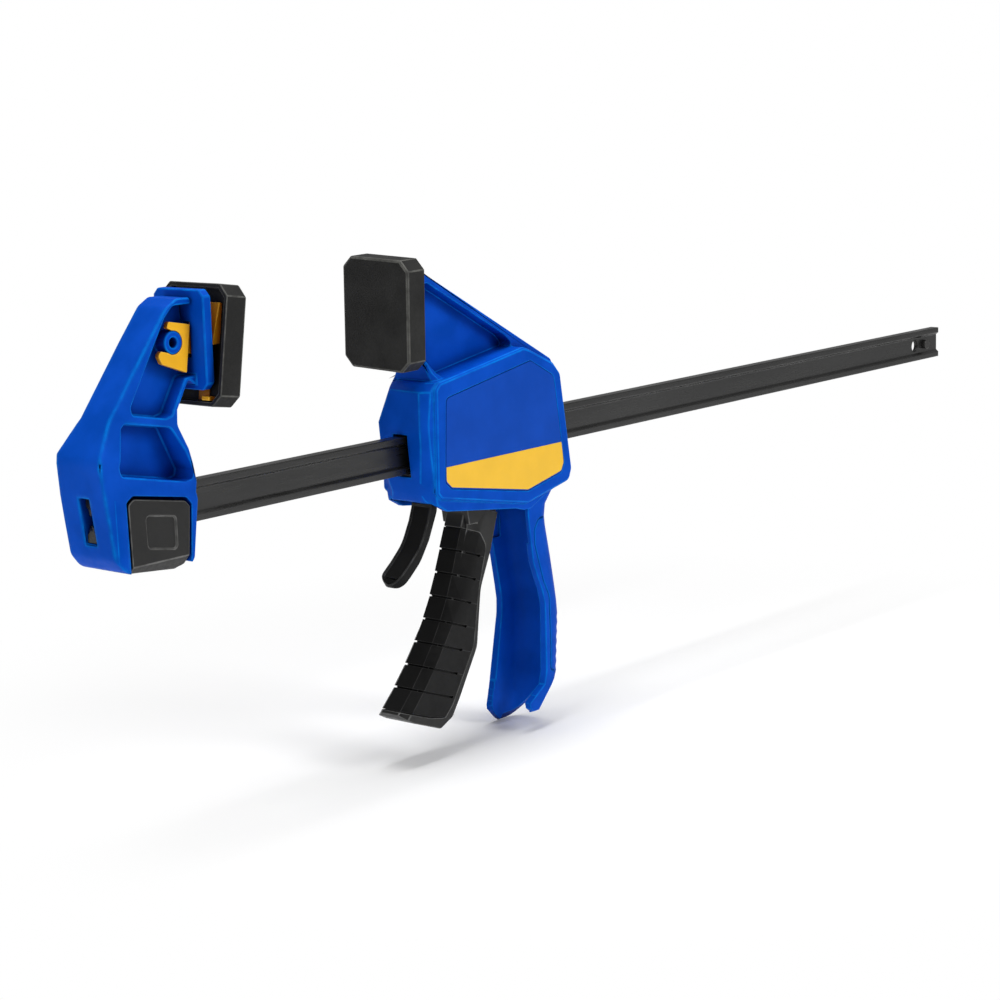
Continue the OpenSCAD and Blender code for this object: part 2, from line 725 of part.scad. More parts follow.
// grip panel on the sides of the handle, inside a fine groove
grip_panel = [
    [110.5, -46.5, 2], [106.1, -47.2, 2], [102.4, -52.7, 3], [102.6, -61.1],
    [109, -81.9], [113.9, -91.9, 8], [114.2, -120.4], [113.6, -134, 2], [126, -138],
    [130, -90], [120, -60], [115, -44]];
panel_groove = [0.6, 0.7];       // width and depth

module body_shell() {
    half = body_width / 2;
    room_half = half - label_depth - label_wall;
    color(body_blue) place() difference() {
        union() {
            difference() {
                union() {
                    housing();
                    difference() {
                        plate_xz(arm_outline, arm_width);
                        both_sides(arm_pocket, arm_web / 2);
                    }
                    jaw_plate(body_plate_front, plate_depth, body_plate_z);
                    difference() {
                        handle_outer();
                        difference() {
                            both_sides(grip_panel, handle_width / 2 - panel_groove[1]);
                            slab_xz(grip_panel, -far, far, panel_groove[0]);
                        }
                    }
                }
                plate_xz(hollow_outline, hollow_width);
                // thinner walls behind the label plates
                intersection() {
                    plate_xz(hollow_outline, 2 * room_half);
                    slab_xz(label_outline, -room_half, room_half, 3);
                }
                handle_channel();
                handle_end_cut();
            }
            // rib behind the brake plate, for its spring
            block([brake_rib[0], -room_half, -21], [brake_rib[1], room_half, 20]);
        }
        bar_slot(0, 140);
        block([0, -bar_width / 2 - mouth_gap, -bar_height / 2 - mouth_gap],
              [hollow_front - guide_thick, bar_width / 2 + mouth_gap,
               bar_height / 2 + mouth_gap / 2]);
        both_sides(label_outline, half - label_depth);
        block([11, -4.4, moving_pivot[1] - 7.5], [26.5, 4.4, moving_pivot[1] + 7.5]);
        pin_y(moving_pivot, pad_pin_diameter / 2, far);
        pin_y(trigger_pivot, trigger_pin_diameter / 2, far);
        // seats of the two guides
        guide_seat(hollow_front - guide_thick, hollow_front);
        guide_seat(hollow_rear, hollow_rear + guide_thick);
        // seat of the brake plate's rounded top edge, flared so that it can tilt
        pin_y(brake_pivot, plate_thickness / 2 + pin_clearance, hollow_width, 32);
        plate_xz([[brake_pivot[0] - plate_thickness / 2 - 0.4, brake_pivot[1]],
                  [brake_pivot[0] + plate_thickness / 2 + 0.4, brake_pivot[1]],
                  [brake_pivot[0] + plate_thickness / 2 + 1, 18],
                  [brake_pivot[0] - plate_thickness / 2 - 1, 18]], hollow_width);
    }
}

module guide_seat(from_x, to_x) {
    block([from_x, -guide_half[0], -guide_half[1]], [to_x, guide_half[0], guide_half[1]]);
}

module guide(from_x) {
    difference() {
        guide_seat(from_x, from_x + guide_thick);
        bar_slot(from_x - 1, from_x + guide_thick + 1);
    }
}

module front_guide() {
    color(soft_black) place() guide(hollow_front - guide_thick);
}

module rear_guide() {
    color(soft_black) place() guide(hollow_rear);
}

// label plates fill the recesses, with the band let into their faces
module label_plate(side) {
    outer = body_width / 2;
    inner = outer - label_depth;
    difference() {
        slab_xz(label_outline, side < 0 ? -outer : inner, side < 0 ? -inner : outer,
                label_joint);
        band(side, 1);
    }
}

module band(side, proud = 0) {
    outer = body_width / 2 + proud;
    inner = body_width / 2 - band_thick;
    slab_xz(band_outline, side < 0 ? -outer : inner, side < 0 ? -inner : outer,
            label_joint);
}

module label_near() {
    color(body_blue) place() label_plate(-1);
}

module label_far() {
    color(body_blue) place() label_plate(1);
}

module band_near() {
    color(band_yellow) place() band(-1);
}

module band_far() {
    color(band_yellow) place() band(1);
}

// ---------------------------------------------------------------- trigger

// front line of the trigger in its leaning frame, w runs down its length
function trigger_front(w) = 65.5 - pow(max(0, w - 48), 2) / 300;
function trigger_bevel(w) = 4.5 + max(0, 84 - w) * 0.11;

trigger_back = [
    [87.9, -10.7], [88.3, -32], [86.1, -52.8, 25], [92.4, -84, 12], [86.1, -112.9],
    [83.1, -123.5, 3], [75.5, -130.8, 3]];
grip_back = [
    [76.6, -24.2, 4], [83.6, -30.1, 5], [84.3, -53.9, 30], [89, -84, 12], [81, -117],
    [77, -124.5, 2]];
grip_skin = 3;

module on_trigger() {
    rotate([0, groove_lean, 0]) children();
}

module trigger_core() {
    on_trigger() plate_xz(
        concat([for (w = [14:8:126]) [trigger_front(w) + grip_skin, -w]],
               [[60, -129], [74, -129], [81, -110], [82, -14]]), 2 * core_half);
}

// the trigger's section at w, with its front corners cut off, g below its surface
function trigger_section(w, g) =
    let (f = trigger_front(w), b = f + trigger_bevel(w))
    [[f + g, front_half - g / 2, -w], [b + g / 2, trigger_half - g, -w],
     [95, trigger_half - g, -w], [95, -trigger_half + g, -w],
     [b + g / 2, -trigger_half + g, -w], [f + g, -front_half + g / 2, -w]];

// what the frame shows: neck above the grip, rim behind it and cap under it
module trigger_rim() {
    cap_top = grip_bottom + 0.4;
    on_trigger() intersection() {
        difference() {
            plate_xz(concat([[60, -10.7], [40, -30], [40, -cap_top], [47.5, -129.6, 1.5],
                             [53.5, -130.5]],
                            [for (i = [len(trigger_back) - 1:-1:0]) trigger_back[i]]),
                     trigger_width);
            grip_room();
        }
        loft([for (w = [8, 30, 48, 60, 72, 84, 96, 108, 120, 132]) trigger_section(w, 0)]);
    }
}

module grip_room(joint = 0) {
    slab_xz(concat([[40, -grip_top]], grip_back, [[66, -grip_bottom], [40, -grip_bottom]]),
            -far, far, joint);
}

// the fork has a cheek on each side of the bar
module trigger_fork() {
    cheek_in = bar_width / 2 + 1.6;
    cheek_out = trigger_half - 1;
    p = trigger_pivot;
    cheek = [[p[0] - 7, p[1] + 4, 4], [p[0] + 1, p[1] + 7, 5], [p[0] + 4.8, p[1] + 2, 3],
             [p[0] + 3.5, nose_z + 4], [p[0] + 1.5, nose_z - 5], [70, -26, 4],
             [79, -37, 2], [79.4, -41], [57, -41], [55.4, -34, 4], [p[0] - 7.5, -14, 8]];
    difference() {
        union() {
            for (side = [-1, 1])
                slab_xz(cheek, side < 0 ? -cheek_out : cheek_in,
                        side < 0 ? -cheek_in : cheek_out);
            for (side = [-1, 1])
                intersection() {
                    pin_y([p[0], nose_z], nose_radius, far);
                    block([0, side < 0 ? -cheek_out : cheek_in, -far],
                          [far, side < 0 ? -cheek_in : cheek_out, far]);
                }
            slab_xz([[56.2, -27, 2], [68, -27, 4], [79, -37, 2], [80, -43], [57, -43],
                     [55.6, -34]], -cheek_out, cheek_out);
        }
        pin_y(p, trigger_pin_diameter / 2 + pin_clearance, far);
    }
}

module trigger_frame() {
    color(soft_black) place() union() {
        trigger_fork();
        trigger_core();
        trigger_rim();
    }
}

// the bands between the grooves each stand a little prouder at their lower edge
module grip_form() {
    step = 0.3;
    loft([for (i = [0:groove_count], end = [0, 1])
        let (w = grip_top + groove_pitch * (i + end))
        trigger_section(w + (end == 0 ? skin : 0), end == 0 ? 0 : -step)]);
}

module grooves() {
    difference() {
        for (i = [1:groove_count])
            let (w = grip_top + groove_pitch * i) {
                block([40, -far, -w - groove_half], [groove_end, far, -w + groove_half]);
                pin_y([groove_end, -w], groove_eye, far, 16);
            }
        loft([for (w = [grip_top - 5 : 12 : grip_bottom + 7]) trigger_section(w, groove_depth)]);
    }
}

module trigger_grip() {
    color(soft_black) place() difference() {
        on_trigger() difference() {
            intersection() {
                grip_form();
                grip_room(grip_joint);
            }
            grooves();
        }
        trigger_core();
    }
}

module trigger_pin() {
    color(steel_grey) place()
        pin_y(trigger_pivot, trigger_pin_diameter / 2, body_width - 2 * label_depth);
}

// ---------------------------------------------------------------- plates and springs

module drive_plate(from_x) {
    difference() {
        rotate([90, 0, 90]) translate([0, 0, from_x]) linear_extrude(plate_thickness)
            polygon(octagon(2 * drive_half[0], 2 * drive_half[1], 2));
        bar_slot(from_x - 1, from_x + plate_thickness + 1);
    }
}

module drive_plate_front() {
    color(steel_grey) place() drive_plate(drive_front);
}

module drive_plate_rear() {
    color(steel_grey) place() drive_plate(drive_front + plate_thickness + drive_gap);
}

module drive_spring() {
    color(steel_grey) place() translate([drive_rear, 0, 0])
        coil_x(drive_spring_radius, drive_wire, hollow_rear - drive_rear, 6);
}

// frame of the brake plate: Z = 0 at its rounded top edge, hanging down
module on_brake() {
    translate([brake_pivot[0], 0, brake_pivot[1]]) rotate([0, brake_lean, 0]) children();
}

module brake_plate() {
    t = plate_thickness / 2;
    hole_y = bar_width / 2 + bar_clearance;
    hole_z = bar_height / 2 + brake_hole_slack;
    color(steel_grey) place() on_brake() difference() {
        union() {
            pin_y([0, 0], t, 2 * brake_half, 32);
            block([-t, -brake_half, -brake_long], [t, brake_half, 0]);
        }
        block([-5, -hole_y, -brake_pivot[1] - hole_z], [5, hole_y, -brake_pivot[1] + hole_z]);
        rivet_places() cylinder(h = 10, r = rivet_radius, center = true, $fn = 24);
    }
}

module rivet_places() {
    for (side = [-1, 1])
        translate([0, side * rivet_y, rivet_z]) rotate([0, 90, 0]) children();
}

lever_outline = [
    [29.2, -30, 6], [26.6, -37], [20.5, -48.6, 25], [11.4, -56.6], [3.6, -62.6, 4],
    [1.6, -66.4, 1.6], [4, -69.2, 2], [12, -63.6], [20, -57, 25], [27.4, -46.4],
    [34.6, -31.4, 8]];
lever_lean = 55;                 // of the lever's finger end
lever_length = 36.6;             // of the finger end, in its leaning frame

module release_lever() {
    half = lever_width / 2;
    tray = 1.2;
    color(soft_black) place() difference() {
        union() {
            intersection() {
                plate_xz(concat(lever_outline, [[34.4, -26]], [[30, -25]]), lever_width);
                lever_plan();
            }
            on_brake() block([-lever_head, -half, -48], [lever_head, half, -lever_head_from]);
        }
        on_brake() block([-plate_thickness / 2, -brake_half, -brake_long],
                         [plate_thickness / 2, brake_half, 0]);
        on_brake() rivet_places()
            cylinder(h = 30, r = rivet_radius, center = true, $fn = 24);
        // dished finger face inside a raised rim
        intersection() {
            slab_xz([[30, -29], [27.5, -37.2], [21.4, -48.9, 25], [12.2, -57.2],
                     [4.6, -63.1, 3], [-8, -63], [0, -40], [20, -28]], -far, far);
            lever_plan(tray);
        }
    }
}

// the lever seen square to its finger end, which is rounded
module lever_plan(inset = 0) {
    half = lever_width / 2 - inset;
    low = inset - lever_length;
    rotate([0, lever_lean, 0]) rotate([90, 0, 90]) translate([0, 0, -far / 2])
        linear_extrude(far)
            polygon(outline([[-half, low, half - 0.5], [half, low, half - 0.5],
                             [half, far], [-half, far]], 2 * round_steps));
}

module lever_rivets() {
    color(steel_grey) place() on_brake() rivet_places() union() {
        cylinder(h = 2 * lever_head, r = rivet_radius, center = true, $fn = 24);
        for (end = [-1, 1])
            translate([0, 0, end * (lever_head + 0.4)])
                cylinder(h = 0.8, r1 = rivet_radius + (end < 0 ? 0.2 : 1),
                         r2 = rivet_radius + (end < 0 ? 1 : 0.2), center = true, $fn = 24);
    }
}

module brake_spring() {
    front = brake_pivot[0] + (spring_z - brake_pivot[1]) * tan(brake_lean)
          + plate_thickness / 2 / cos(brake_lean) + brake_spring_radius * sin(brake_lean) + 0.1;
    color(steel_grey) place() translate([front, 0, spring_z])
        coil_x(brake_spring_radius, brake_wire, brake_rib[0] - front, 5, 12, 5);
}

body_shell();
label_near();
label_far();
band_near();
band_far();
front_guide();
rear_guide();
trigger_pin();
drive_spring();
brake_spring();
pad_pin();
bar();
stop_pin();
fixed_jaw();
button_spring();
jaw_button();
lock_bolt();
fixed_carrier();
fixed_pad();
moving_carrier();
moving_pad();
trigger_frame();
trigger_grip();
drive_plate_front();
drive_plate_rear();
brake_plate();
release_lever();
lever_rivets();
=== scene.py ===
# %% [markdown]
# A quick release bar clamp is a steel bar with two jaws. One jaw is fixed to the
# bar's head, the other is part of a body with a squeeze trigger, a release lever
# and a handle. The engineering model already holds every part at its true size, so
# the lesson starts by loading it as a frame that nothing here moves.

# %% Load the frame
import json
from math import pi, radians

import bmesh
import bpy
from mathutils import Matrix, Vector

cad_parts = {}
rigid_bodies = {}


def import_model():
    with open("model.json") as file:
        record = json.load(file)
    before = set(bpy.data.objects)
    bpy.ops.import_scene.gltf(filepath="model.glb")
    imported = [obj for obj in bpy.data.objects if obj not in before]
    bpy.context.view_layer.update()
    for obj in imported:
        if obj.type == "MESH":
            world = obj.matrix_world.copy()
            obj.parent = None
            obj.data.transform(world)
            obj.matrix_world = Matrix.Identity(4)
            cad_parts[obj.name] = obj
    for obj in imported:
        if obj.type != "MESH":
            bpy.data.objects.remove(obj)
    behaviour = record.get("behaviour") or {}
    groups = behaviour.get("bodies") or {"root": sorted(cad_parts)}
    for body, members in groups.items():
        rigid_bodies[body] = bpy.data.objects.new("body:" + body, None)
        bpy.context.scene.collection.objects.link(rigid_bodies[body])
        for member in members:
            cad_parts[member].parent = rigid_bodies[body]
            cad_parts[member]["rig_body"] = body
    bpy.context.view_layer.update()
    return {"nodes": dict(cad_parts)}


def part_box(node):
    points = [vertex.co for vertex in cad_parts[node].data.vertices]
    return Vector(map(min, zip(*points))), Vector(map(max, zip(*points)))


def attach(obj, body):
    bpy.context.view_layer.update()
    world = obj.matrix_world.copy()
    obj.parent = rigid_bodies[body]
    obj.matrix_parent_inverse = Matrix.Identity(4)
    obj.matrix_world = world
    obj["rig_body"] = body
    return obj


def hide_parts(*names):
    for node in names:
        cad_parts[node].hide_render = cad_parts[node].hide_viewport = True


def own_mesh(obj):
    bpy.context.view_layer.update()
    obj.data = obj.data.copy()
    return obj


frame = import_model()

parts = frame["nodes"]
mm = 0.001
print("parts in the frame:", len(parts))

# %% [markdown]
# The camera stands low in front of the fixed jaw and looks along the bar. Its place
# and its three axes are written out, because a camera that is set by its axes can't
# roll by accident. A long lens keeps the bar's far end from shrinking too fast.

# %% Camera
camera = bpy.data.objects.new("camera", bpy.data.cameras.new("camera"))
bpy.context.scene.collection.objects.link(camera)
camera.data.sensor_width = 36
camera.data.lens = 86.77
camera.data.clip_end = 50
right = Vector((0.64142, -0.76663, -0.02939))
up = Vector((0.15754, 0.09413, 0.98302))
back = Vector((-0.75084, -0.63515, 0.18115))
turn = Matrix((right, up, back)).transposed().to_4x4()
camera.matrix_world = Matrix.Translation((-1.07762, -0.83762, 0.36868)) @ turn
bpy.context.scene.camera = camera
print("camera height in mm:", round(camera.location.z / mm))

# %% [markdown]
# A product picture has light from everywhere and a few broad lamps. The world gives
# the even light, a wide lamp above draws the bright lines on the upper edges, the
# strongest one stands on the side of the label, and a weak one keeps the jaw's outer
# end from going black. The lamps stay low enough for a colour to come out about as
# it is written.

# %% World and lamps
scene = bpy.context.scene
scene.view_settings.view_transform = "Standard"
world = bpy.data.worlds.new("studio")
scene.world = world
world.use_nodes = True
nodes, links = world.node_tree.nodes, world.node_tree.links
sky = nodes["Background"]
path = nodes.new("ShaderNodeLightPath")
seen = nodes.new("ShaderNodeMath")
seen.operation = "MAXIMUM"
strength = nodes.new("ShaderNodeMapRange")
strength.inputs["To Min"].default_value = 0.3
strength.inputs["To Max"].default_value = 1.0
links.new(path.outputs["Is Camera Ray"], seen.inputs[0])
links.new(path.outputs["Is Transmission Ray"], seen.inputs[1])
links.new(seen.outputs[0], strength.inputs["Value"])
links.new(strength.outputs["Result"], sky.inputs["Strength"])
sky.inputs["Color"].default_value = (1, 1, 1, 1)


def lamp(name, place, target, width, height, power):
    """A flat studio lamp at place that faces target."""
    light = bpy.data.lights.new(name, "AREA")
    light.shape = "RECTANGLE"
    light.size, light.size_y, light.energy = width, height, power
    stand = bpy.data.objects.new(name, light)
    stand.location = place
    aim = Vector(target) - Vector(place)
    stand.rotation_euler = aim.to_track_quat("-Z", "Y").to_euler()
    scene.collection.objects.link(stand)


lamp("top_lamp", (-0.1, 0.0, 1.5), (-0.1, 0, 0.15), 1.3, 0.5, 15)
lamp("side_lamp", (0.3, -1.3, 1.0), (-0.1, 0, 0.12), 0.6, 0.7, 10)
lamp("end_lamp", (-1.6, -0.3, 0.6), (-0.3, 0, 0.15), 0.5, 0.7, 4.5)

# %% [markdown]
# The floor is a plain sheet that goes white some way from the clamp, so there is no
# horizon. Only near the clamp is it a lit surface, which lets it keep the shadow.

# %% Floor
floor_mesh = bpy.data.meshes.new("floor")
corners = [(-6, -6, 0), (6, -6, 0), (6, 6, 0), (-6, 6, 0)]
floor_mesh.from_pydata(corners, [], [(0, 1, 2, 3)])
floor = bpy.data.objects.new("floor", floor_mesh)
scene.collection.objects.link(floor)
paper = bpy.data.materials.new("paper")
paper.use_nodes = True
nodes, links = paper.node_tree.nodes, paper.node_tree.links
matt = nodes["Principled BSDF"]
matt.inputs["Base Color"].default_value = (0.96, 0.96, 0.96, 1)
matt.inputs["Roughness"].default_value = 0.9
matt.inputs["Specular IOR Level"].default_value = 0.1
glow = nodes.new("ShaderNodeEmission")
where = nodes.new("ShaderNodeTexCoord")
far_off = nodes.new("ShaderNodeVectorMath")
far_off.operation = "LENGTH"
fade = nodes.new("ShaderNodeMapRange")
fade.interpolation_type = "SMOOTHSTEP"
fade.inputs["From Min"].default_value = 0.12
fade.inputs["From Max"].default_value = 0.42
path = nodes.new("ShaderNodeLightPath")
both = nodes.new("ShaderNodeMath")
both.operation = "MULTIPLY"
mix = nodes.new("ShaderNodeMixShader")
links.new(where.outputs["Object"], far_off.inputs[0])
links.new(far_off.outputs["Value"], fade.inputs["Value"])
links.new(fade.outputs["Result"], both.inputs[0])
links.new(path.outputs["Is Camera Ray"], both.inputs[1])
links.new(both.outputs[0], mix.inputs[0])
links.new(matt.outputs[0], mix.inputs[1])
links.new(glow.outputs[0], mix.inputs[2])
links.new(mix.outputs[0], nodes["Material Output"].inputs["Surface"])
floor_mesh.materials.append(paper)

# %% [markdown]
# Every finish here is a moulded or coated surface, so one recipe fits them all. A
# broad noise shifts the colour a little, a fine one gives the grain of the mould as
# bump and a third one varies the gloss. An Ambient Occlusion node takes the colour
# down in pockets and slots towards a darker colour: that is painted shade. A Bevel
# node bends the normal near an edge, so even an edge that stays sharp catches a line
# of light. Where the bent normal leaves the true one there is an edge, and so there is
# on the faces that a rounding made, which carry the mark "edge". There the colour is
# made lighter in patches, partly as rubbed wear and partly as a painted highlight, or
# darker where the finish says so, as on the label plates. Object coordinates are in
# metres, so a noise scale of 1000 has details of about a millimetre.

# %% Recipe of the finishes
def finish(name, colour, rough, wear_and_highlight_colour, painted_shade, metal=0.0, grain=2600, bump=0.15,
           shift=0.06, wear_and_highlight=0.5, gloss_shift=0.08, specular=0.5, streak=(1, 1, 1),
           soft=0.7, reach=9):
    """A procedural finish; soft and reach are in mm. The fourth argument is the colour
    of rubbed edges with a painted highlight, the fifth the colour of the painted shade
    in hollows.
    """
    material = bpy.data.materials.new(name)
    material.use_nodes = True
    nodes, links = material.node_tree.nodes, material.node_tree.links
    shader = nodes["Principled BSDF"]
    shader.inputs["Metallic"].default_value = metal
    shader.inputs["Specular IOR Level"].default_value = specular
    where = nodes.new("ShaderNodeTexCoord")
    stretch = nodes.new("ShaderNodeMapping")
    stretch.inputs["Scale"].default_value = streak
    links.new(where.outputs["Object"], stretch.inputs["Vector"])

    def noise(scale, detail):
        texture = nodes.new("ShaderNodeTexNoise")
        texture.inputs["Scale"].default_value = scale
        texture.inputs["Detail"].default_value = detail
        links.new(stretch.outputs["Vector"], texture.inputs["Vector"])
        return texture.outputs["Fac"]

    def ranged(value, low, high, to_low, to_high):
        step = nodes.new("ShaderNodeMapRange")
        for key, number in (("From Min", low), ("From Max", high),
                            ("To Min", to_low), ("To Max", to_high)):
            step.inputs[key].default_value = number
        links.new(value, step.inputs["Value"])
        return step.outputs["Result"]

    def product(first, second):
        step = nodes.new("ShaderNodeMath")
        step.operation = "MULTIPLY"
        links.new(first, step.inputs[0])
        links.new(second, step.inputs[1])
        return step.outputs[0]

    def mixed(amount, first, second):
        step = nodes.new("ShaderNodeMix")
        step.data_type = "RGBA"
        links.new(amount, step.inputs["Factor"])
        for slot, value in ((6, first), (7, second)):
            if isinstance(value, tuple):
                step.inputs[slot].default_value = (*value, 1)
            else:
                links.new(value, step.inputs[slot])
        return step.outputs[2]

    # colour: clouds, then painted shade in the hollows, then rubbed edges with a
    # painted highlight
    dark = tuple(c * (1 - shift) for c in colour)
    light = tuple(min(1, c * (1 + shift) + shift * 0.02) for c in colour)
    clouds = mixed(ranged(noise(60, 4), 0.35, 0.65, 0, 1), dark, light)
    # painted shade: the AO node takes the colour down towards the painted shade colour
    # in pockets and slots
    shade_ao = nodes.new("ShaderNodeAmbientOcclusion")
    shade_ao.samples = 8
    shade_ao.inputs["Distance"].default_value = reach * mm
    lit = ranged(shade_ao.outputs["AO"], 0.15, 0.85, 0, 1)
    base = mixed(lit, painted_shade, clouds)
    bent = nodes.new("ShaderNodeBevel")
    bent.samples = 6
    rounder = nodes.new("ShaderNodeAttribute")
    rounder.attribute_name = "rounder"
    radius = nodes.new("ShaderNodeMath")
    radius.operation = "ADD"
    radius.inputs[1].default_value = soft * mm
    links.new(rounder.outputs["Fac"], radius.inputs[0])
    links.new(radius.outputs[0], bent.inputs["Radius"])
    true = nodes.new("ShaderNodeNewGeometry")
    same = nodes.new("ShaderNodeVectorMath")
    same.operation = "DOT_PRODUCT"
    links.new(bent.outputs["Normal"], same.inputs[0])
    links.new(true.outputs["Normal"], same.inputs[1])
    marked = nodes.new("ShaderNodeAttribute")
    marked.attribute_name = "edge"
    either = nodes.new("ShaderNodeMath")
    either.operation = "MAXIMUM"
    links.new(ranged(same.outputs["Value"], 0.995, 0.9, 0, 1), either.inputs[0])
    links.new(marked.outputs["Fac"], either.inputs[1])
    at_edge = product(either.outputs[0], lit)
    # edges made lighter in patches: partly rubbed wear, partly a painted highlight
    wear_and_highlight_patches = product(at_edge, ranged(noise(170, 4), 0.32, 0.68, 0.3 * wear_and_highlight, wear_and_highlight))
    links.new(mixed(wear_and_highlight_patches, base, wear_and_highlight_colour), shader.inputs["Base Color"])

    # gloss and grain
    links.new(ranged(noise(400, 5), 0.3, 0.7, rough - gloss_shift, rough + gloss_shift),
              shader.inputs["Roughness"])
    relief = nodes.new("ShaderNodeBump")
    relief.inputs["Strength"].default_value = bump
    relief.inputs["Distance"].default_value = 0.2 * mm
    links.new(noise(grain, 3), relief.inputs["Height"])
    links.new(bent.outputs["Normal"], relief.inputs["Normal"])
    links.new(relief.outputs["Normal"], shader.inputs["Normal"])
    return material


# each finish: colour, roughness, colour of rubbed edges with a painted highlight,
# colour of the painted shade in hollows
body_blue = finish("body_blue", (0.0, 0.068, 0.49), 0.45, (0.0, 0.27, 0.85),
                   (0.0, 0.01, 0.12), soft=1.1, specular=0.03, shift=0.1)
label_blue = finish("label_blue", (0.0, 0.06, 0.43), 0.36, (0.0, 0.025, 0.2),
                    (0.0, 0.01, 0.12), bump=0.04, soft=0.3, specular=0.08, wear_and_highlight=0.8)
band_yellow = finish("band_yellow", (0.9, 0.52, 0.015), 0.4, (1, 0.7, 0.15),
                     (0.3, 0.14, 0.0), bump=0.04, soft=0.2, shift=0.03)
# the carrier's painted shade reaches 22 mm, so it is darker orange between the jaw
# plate and the pad
carrier_yellow = finish("carrier_yellow", (0.93, 0.47, 0.005), 0.42, (1, 0.65, 0.1),
                        (0.3, 0.05, 0.0), reach=22, specular=0.3)
pad_rubber = finish("pad_rubber", (0.011, 0.011, 0.0105), 0.55, (0.13, 0.13, 0.12),
                    (0.003, 0.003, 0.003), grain=1500, bump=0.4, shift=0.2, wear_and_highlight=0.8,
                    soft=0.5, specular=0.22)
bar_black = finish("bar_black", (0.007, 0.007, 0.0067), 0.3, (0.2, 0.2, 0.195),
                   (0.002, 0.002, 0.002), grain=1800, streak=(0.1, 1, 1), shift=0.3,
                   wear_and_highlight=0.9, soft=0.5, specular=0.5)
soft_black = finish("soft_black", (0.003, 0.003, 0.003), 0.42, (0.08, 0.08, 0.08),
                    (0.001, 0.001, 0.001), shift=0.12, soft=0.5, reach=5, specular=0.14)
hard_black = finish("hard_black", (0.008, 0.008, 0.0077), 0.4, (0.16, 0.16, 0.155),
                    (0.002, 0.002, 0.002), shift=0.12, soft=0.6, reach=5, specular=0.3,
                    wear_and_highlight=0.8)
steel = finish("steel", (0.42, 0.42, 0.41), 0.32, (0.6, 0.6, 0.6), (0.08, 0.08, 0.08),
               metal=1.0, grain=900, bump=0.05)
dark_steel = finish("dark_steel", (0.05, 0.05, 0.048), 0.4, (0.2, 0.2, 0.19),
                    (0.01, 0.01, 0.01), metal=0.6, grain=900, bump=0.1)
print("finishes:", len(bpy.data.materials) - 1)

# %% [markdown]
# A moulded part has no sharp edges: the steel of a mould can't be cut sharp, and a
# rounded edge is what catches the light. Each part's mesh is copied, its loose
# triangles are merged into flat faces, and a Bevel modifier rounds the edges between
# those faces. It works by weight, so a rule can give small forms a finer rounding.
# Inner corners of the housing and the fork get none, because that would fill the
# corner and take room from the mechanism. The faces that the rounding makes get a
# second material slot, which is how the mark "edge" finds them. The result is read
# back as a plain mesh, and only the even shading stays live.

# %% Round the edges of a part
same_point = 2e-5       # points closer than this are one, in metres
flat_angle = 0.6        # faces that turn less than this are one, in degrees
finer_share = 0.35      # the share of the radius on small forms


def rounded(name, piece, radius, material, angle=27, segments=3, wider=None,
            finer=None, inside=None):
    """A copy of a part with its edges over angle degrees rounded.

    finer and inside tell, for a point in mm, whether an edge there gets a finer
    rounding or, in an inner corner, none; wider gives the number "rounder" in mm.
    """
    source = parts[name]
    work = bmesh.new()
    work.from_mesh(source.data)
    bmesh.ops.remove_doubles(work, verts=work.verts, dist=same_point)
    bmesh.ops.dissolve_degenerate(work, edges=work.edges, dist=same_point)
    bmesh.ops.dissolve_limit(work, angle_limit=radians(flat_angle), verts=work.verts,
                             edges=work.edges, use_dissolve_boundaries=False)
    weight = work.edges.layers.float.new("bevel_weight_edge")
    count = 0
    for edge in work.edges:
        if len(edge.link_faces) == 2 and edge.calc_face_angle(0) > radians(angle):
            ends = [v.co / mm for v in edge.verts]
            if inside and not edge.is_convex and all(inside(*end) for end in ends):
                continue
            small = finer and all(finer(*end) for end in ends)
            edge[weight] = finer_share if small else 1
            count += 1
    mesh = bpy.data.meshes.new(piece)
    work.to_mesh(mesh)
    work.free()
    mesh.materials.append(material)
    mesh.materials.append(material)
    made = bpy.data.objects.new(piece, mesh)
    scene.collection.objects.link(made)
    bevel = made.modifiers.new("rounding", "BEVEL")
    bevel.material = 1
    bevel.limit_method = "WEIGHT"
    bevel.width = radius
    bevel.segments = segments
    bevel.use_clamp_overlap = False
    graph = bpy.context.evaluated_depsgraph_get()
    mesh = bpy.data.meshes.new_from_object(made.evaluated_get(graph))
    made.modifiers.clear()
    made.data = mesh
    mesh.name = piece
    edge_mark = mesh.attributes.new("edge", "FLOAT", "FACE")
    for face, mark in zip(mesh.polygons, edge_mark.data):
        mark.value = face.material_index
        face.material_index = 0
    if wider:
        extra = mesh.attributes.new("rounder", "FLOAT", "POINT")
        for vertex, value in zip(mesh.vertices, extra.data):
            value.value = wider(*(vertex.co / mm)) * mm
    mesh.materials.clear()
    mesh.materials.append(material)
    mesh.shade_smooth()
    even = made.modifiers.new("even shading", "WEIGHTED_NORMAL")
    even.keep_sharp = True
    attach(made, source["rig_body"])
    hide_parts(name)
    print(piece, "edges rounded:", count, "faces:", len(mesh.polygons))


# %% [markdown]
# Some edges are much softer than the rest: the jaw's spine is rounded like a spoon's
# back, and so is the body's nose. Their points carry a number, "rounder", that the
# finish adds to the radius of its Bevel node. The light then runs round a wide
# curve, while the mesh keeps its exact outline.

# %% Rounding of the jaw and the body
spine = [(-36, 93.6), (-49.3, 77.4), (-75.8, 43.8), (-84.9, 30.5), (-85.6, 26),
         (-81.8, 0), (-79.3, -17), (-73.5, -24.2)]
jaw_face, bar_height = -296.05, 166      # face of the fixed pad, centre of the bar
spine_depth, spine_softness, nose_softness = 2.5, 2.6, 1.6


